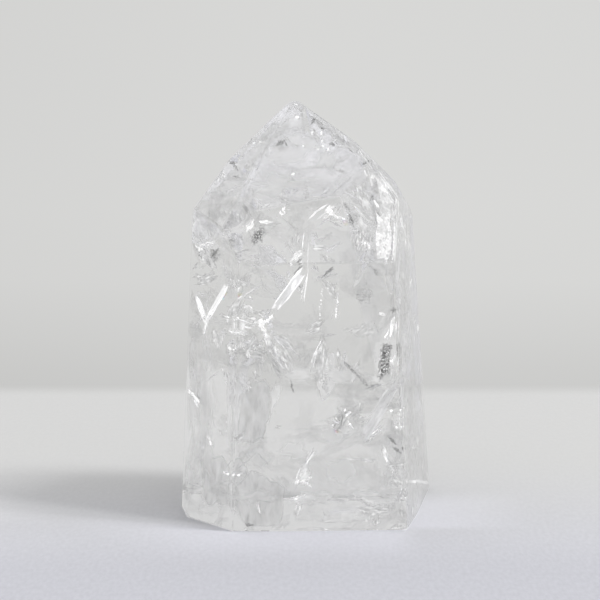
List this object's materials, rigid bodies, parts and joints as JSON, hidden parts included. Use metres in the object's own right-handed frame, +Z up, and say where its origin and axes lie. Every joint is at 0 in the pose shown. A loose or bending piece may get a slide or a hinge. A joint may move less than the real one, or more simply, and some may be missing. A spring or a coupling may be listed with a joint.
{
  "type": "fire and ice quartz tower",
  "caption": "Clear, heat-crackled quartz stone ground to an uneven faceted column with a slanting faceted point and a flat base.",
  "frame": {"origin": "middle of the stone's box at its flat base", "axes": "+Z up along the column to the point; -Y out of the broad front flat; +X to the right seen from the front"},
  "size_m": [0.0492, 0.0404, 0.0797],
  "materials": {
    "crackled_quartz": "clear polished quartz, see-through, with thin curved air cracks, pale veils and a few dark flecks inside"
  },
  "bodies": {
    "root": {"quartz_tower": "crackled_quartz"}
  },
  "joints": []
}
